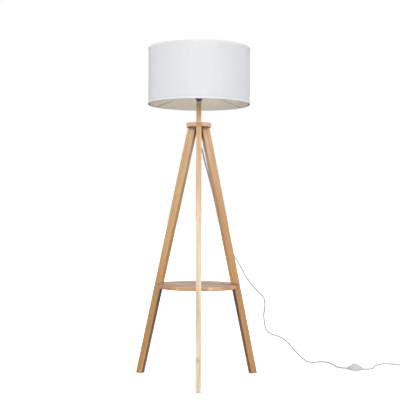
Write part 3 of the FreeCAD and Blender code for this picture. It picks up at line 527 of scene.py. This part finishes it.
def add_lead(name, points):
    """A round lead along one smooth line, in metres."""
    data = bpy.data.curves.new(name, "CURVE")
    data.dimensions = "3D"
    spline = data.splines.new("NURBS")
    spline.points.add(len(points) - 1)
    for point, place in zip(spline.points, points):
        point.co = (*place, 1)
    spline.order_u = 3
    spline.use_endpoint_u = True
    data.resolution_u = 8
    data.bevel_depth = LEAD_DIAMETER / 2
    data.bevel_resolution = 5
    data.use_fill_caps = True
    item = bpy.data.objects.new(name, data)
    bpy.context.scene.collection.objects.link(item)
    data.materials.append(LEAD_PLASTIC)
    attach(item, "lamp")
    return item


# The routes of the CAD's lead, from the gland to the foot switch, on to the coil, and on to the plug.

LEAD_TO_SWITCH = [
    (0, 0, 1.076),
    (0, 0, 1.0595),
    (0.0046, 0.0038, 1.0435),
    (0.0125, 0.0125, 1.029),
    (0.018, 0.028, 1.011),
    (0.024, 0.044, 0.986),
    (0.036, 0.061, 0.946),
    (0.05, 0.076, 0.896),
    (0.066, 0.088, 0.838),
    (0.081, 0.098, 0.776),
    (0.097, 0.107, 0.714),
    (0.115, 0.117, 0.652),
    (0.139, 0.13, 0.594),
    (0.17, 0.147, 0.542),
    (0.201, 0.162, 0.49),
    (0.231, 0.173, 0.436),
    (0.268, 0.183, 0.388),
    (0.313, 0.191, 0.35),
    (0.32, 0.197, 0.306),
    (0.312, 0.202, 0.264),
    (0.318, 0.207, 0.224),
    (0.325, 0.214, 0.188),
    (0.354, 0.229, 0.169),
    (0.4, 0.257, 0.153),
    (0.441, 0.292, 0.12),
    (0.48, 0.326, 0.072),
    (0.523, 0.359, 0.03),
    (0.56, 0.394, 0.008),
    (0.58, 0.422, 0.004),
    (0.598, 0.4415, 0.0036),
    (0.6225, 0.45, 0.0036),
    (0.6465, 0.4415, 0.0036),
    (0.6605, 0.418, 0.0036),
    (0.665, 0.386, 0.0036),
    (0.669, 0.349, 0.0036),
    (0.6745, 0.3107, 0.0036),
    (0.6788, 0.2847, 0.0045),
    (0.697874, 0.260235, 0.0059),
    (0.727335, 0.252341, 0.0059),
]

LEAD_TO_COIL = [
    (0.781427, 0.237847, 0.0059),
    (0.8027, 0.232147, 0.0059),
    (0.8243, 0.24, 0.0049),
    (0.8386, 0.2605, 0.0038),
    (0.8535, 0.301, 0.0036),
    (0.871, 0.343, 0.0036),
    (0.892, 0.377, 0.0036),
    (0.918, 0.396, 0.0036),
    (0.948, 0.398, 0.0036),
    (0.975, 0.383, 0.0036),
    (0.994, 0.3655, 0.0036),
    (1.014, 0.3482, 0.0036),
]

LEAD_TO_PLUG = [
    (1.0914, 0.3788, 0.0096),
    (1.0945, 0.397, 0.00705),
    (1.0945, 0.415, 0.00705),
]


def ease(value, start, end):
    """0 before start, 1 after end and smooth between them."""
    share = min(max((value - start) / (end - start), 0), 1)
    return share * share * (3 - 2 * share)


def coil_turns():
    """The turns: round the outside on the floor, in beside that, up on top and out to the rim again."""
    low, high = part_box("cord_coil")
    centre = (low + high) / 2
    outer = (high.x - low.x) / 2 - LEAD_DIAMETER / 2
    inner = outer - LEAD_DIAMETER - 0.0003
    floor_level = LEAD_DIAMETER / 2 + 0.00035
    upper_level = floor_level + LEAD_DIAMETER
    start, end, step = -120, 1070, 20
    swell = 1 / math.cos(math.radians(step / 2))
    turns = []
    for degrees in range(start, end, step):
        inward = ease(degrees, 175, 235) - ease(degrees, 775, 835)
        upward = ease(degrees, 475, 535)
        radius = swell * (outer + (inner - outer) * inward)
        angle = math.radians(degrees)
        height = floor_level + (upper_level - floor_level) * upward
        across, along = radius * math.cos(angle), radius * math.sin(angle)
        turns.append((centre.x + across, centre.y + along, height))
    return turns


def add_leads():
    """The lead up to the foot switch, and the one from it through the coil to the plug."""
    first = add_lead("lead_to_switch", LEAD_TO_SWITCH)
    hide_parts("cord_to_switch")
    second = add_lead("lead_to_plug", LEAD_TO_COIL + coil_turns() + LEAD_TO_PLUG)
    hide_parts("cord_to_coil", "cord_coil", "cord_to_plug")


# ---------------------------------------------------------------- CAD pieces and their materials


def leg_grain(node):
    """The direction of a leg's middle line: up, and in towards the lamp's axis."""
    rise, lean = 1.11, 0.269
    low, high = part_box(node)
    middle = (low + high) / 2
    outward = Vector((middle.x, middle.y, 0)).normalized()
    return (Vector((0, 0, rise)) - lean * outward).normalized()


def dress(material, *nodes):
    """Gives CAD pieces a material."""
    for name in nodes:
        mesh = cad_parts[name].data
        mesh.materials.clear()
        mesh.materials.append(material)


def dress_wood():
    """Each leg has its own board, paler or browner from foot to head; the front leg's paler foot is painted
    light.
    """
    # Painted light: paler and greyer towards the foot, as light bounced up from the floor would make it.
    front = by_height(
        (0.25, (0.83, 0.71, 0.57)),
        (0.54, (0.82, 0.67, 0.50)),
        (0.81, (0.78, 0.55, 0.345)),
        (0.95, (0.83, 0.565, 0.34)),
    )
    left = by_height(
        (0.20, (0.54, 0.295, 0.105)),
        (0.45, (0.59, 0.345, 0.135)),
        (0.75, (0.70, 0.445, 0.215)),
        (0.95, (0.86, 0.59, 0.35)),
    )
    right = by_height(
        (0.20, (0.57, 0.30, 0.125)),
        (0.45, (0.62, 0.34, 0.145)),
        (0.75, (0.70, 0.42, 0.22)),
        (0.95, (0.84, 0.57, 0.34)),
    )
    knot = (-0.003, -0.2855, 0.129)
    dress(wood("front_leg_oak", leg_grain("leg_front"), front, (0, 0, 0.11), knots=[knot]), "leg_front")
    dress(wood("left_leg_oak", leg_grain("leg_back_left"), left, (0.74, 0.42, 0.11)), "leg_back_left")
    dress(wood("right_leg_oak", leg_grain("leg_back_right"), right, (0.37, 0.21, 0.11)), "leg_back_right")
    dress(wood("head_oak", (1, 0.2, 0), (0.97, 0.71, 0.46), (0.3, 0.7, 0.2)), "head_disc")
    dress(wood("shelf_oak", (1, 0.08, 0), shelf_tone, (0.9, 0.1, 0.4), streak=0.045), "shelf")
    dress(wood("stem_oak", (0, 0, 1), (0.98, 0.69, 0.44), (0.1, 0.5, 0.8)), "stem")
    dress(wood("plug_oak", (1, 0, 0), (0.82, 0.57, 0.34), (0.6, 0.2, 0.9)), "disc_plugs", "leg_plugs")


def dress_metal():
    dress(
        plated("zinc_plate", (0.62, 0.64, 0.66), 0.32),
        "leg_screws", "shelf_screws", "threaded_rod", "rod_nut", "rod_washer", "switch_screws",
    )
    dress(plated("spring_wire", (0.5, 0.51, 0.53), 0.28), "switch_spring")
    dress(plated("nickel", (0.72, 0.70, 0.67), 0.18, (1, 0.05, 1)), "plug_pins")
    dress(
        plated("bare_brass", (0.74, 0.53, 0.22), 0.28),
        "screw_shell", "centre_contact", "holder_terminals", "switch_terminals",
    )


def dress_plastic():
    dress(
        moulded("holder_bakelite", (0.025, 0.025, 0.028), 0.34, coat=0.2),
        "holder_cap", "holder_body", "clamp_ring",
    )
    dress(moulded("holder_ceramic", (0.74, 0.71, 0.66), 0.45), "holder_insert")
    dress(moulded("gland_nylon", (0.76, 0.76, 0.74), 0.42), "cord_gland")
    dress(moulded("switch_plastic", (0.64, 0.65, 0.665), 0.36, coat=0.1), "switch_base", "switch_cover")
    dress(moulded("button_plastic", (0.67, 0.68, 0.69), 0.3, coat=0.15), "switch_button")
    dress(moulded("plug_plastic", (0.78, 0.78, 0.76), 0.32, coat=0.1), "plug_body")
    dress(moulded("sleeve_plastic", (0.03, 0.03, 0.03), 0.45), "pin_sleeves")
    dress(LEAD_PLASTIC, "cord_in_stem")


def dress_shade():
    dress(powder_coat("wire_white", (0.74, 0.74, 0.73)), "spider", "top_rim_wire", "bottom_rim_wire")
    dress(lining("lining_styrene", (0.86, 0.81, 0.71)), "shade_liner")
    hem = cloth("hem_cotton", (0.90, 0.91, 0.935), 0.0005, 0.4, inside=(0.88, 0.85, 0.78))
    dress(hem, "top_hem_tape", "bottom_hem_tape")
    dress(felt("pad_felt", (0.30, 0.22, 0.15)), "foot_pads")


# ---------------------------------------------------------------- foot switch's spring


def add_switch_spring():
    """The button's return spring, which shortens by the button's travel as it is pressed."""
    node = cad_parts["switch_spring"]
    spring = bpy.data.objects.new("return_spring", node.data.copy())
    spring.matrix_world = node.matrix_world
    bpy.context.scene.collection.objects.link(spring)
    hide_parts("switch_spring")
    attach(spring, "lamp")
    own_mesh(spring)


LEAD_PLASTIC = moulded("lead_pvc", (0.60, 0.61, 0.635), 0.45)

add_camera()
add_lights()
add_floor()
add_leads()
dress_wood()
dress_metal()
dress_plastic()
dress_shade()
add_shade_cloth()
add_switch_spring()
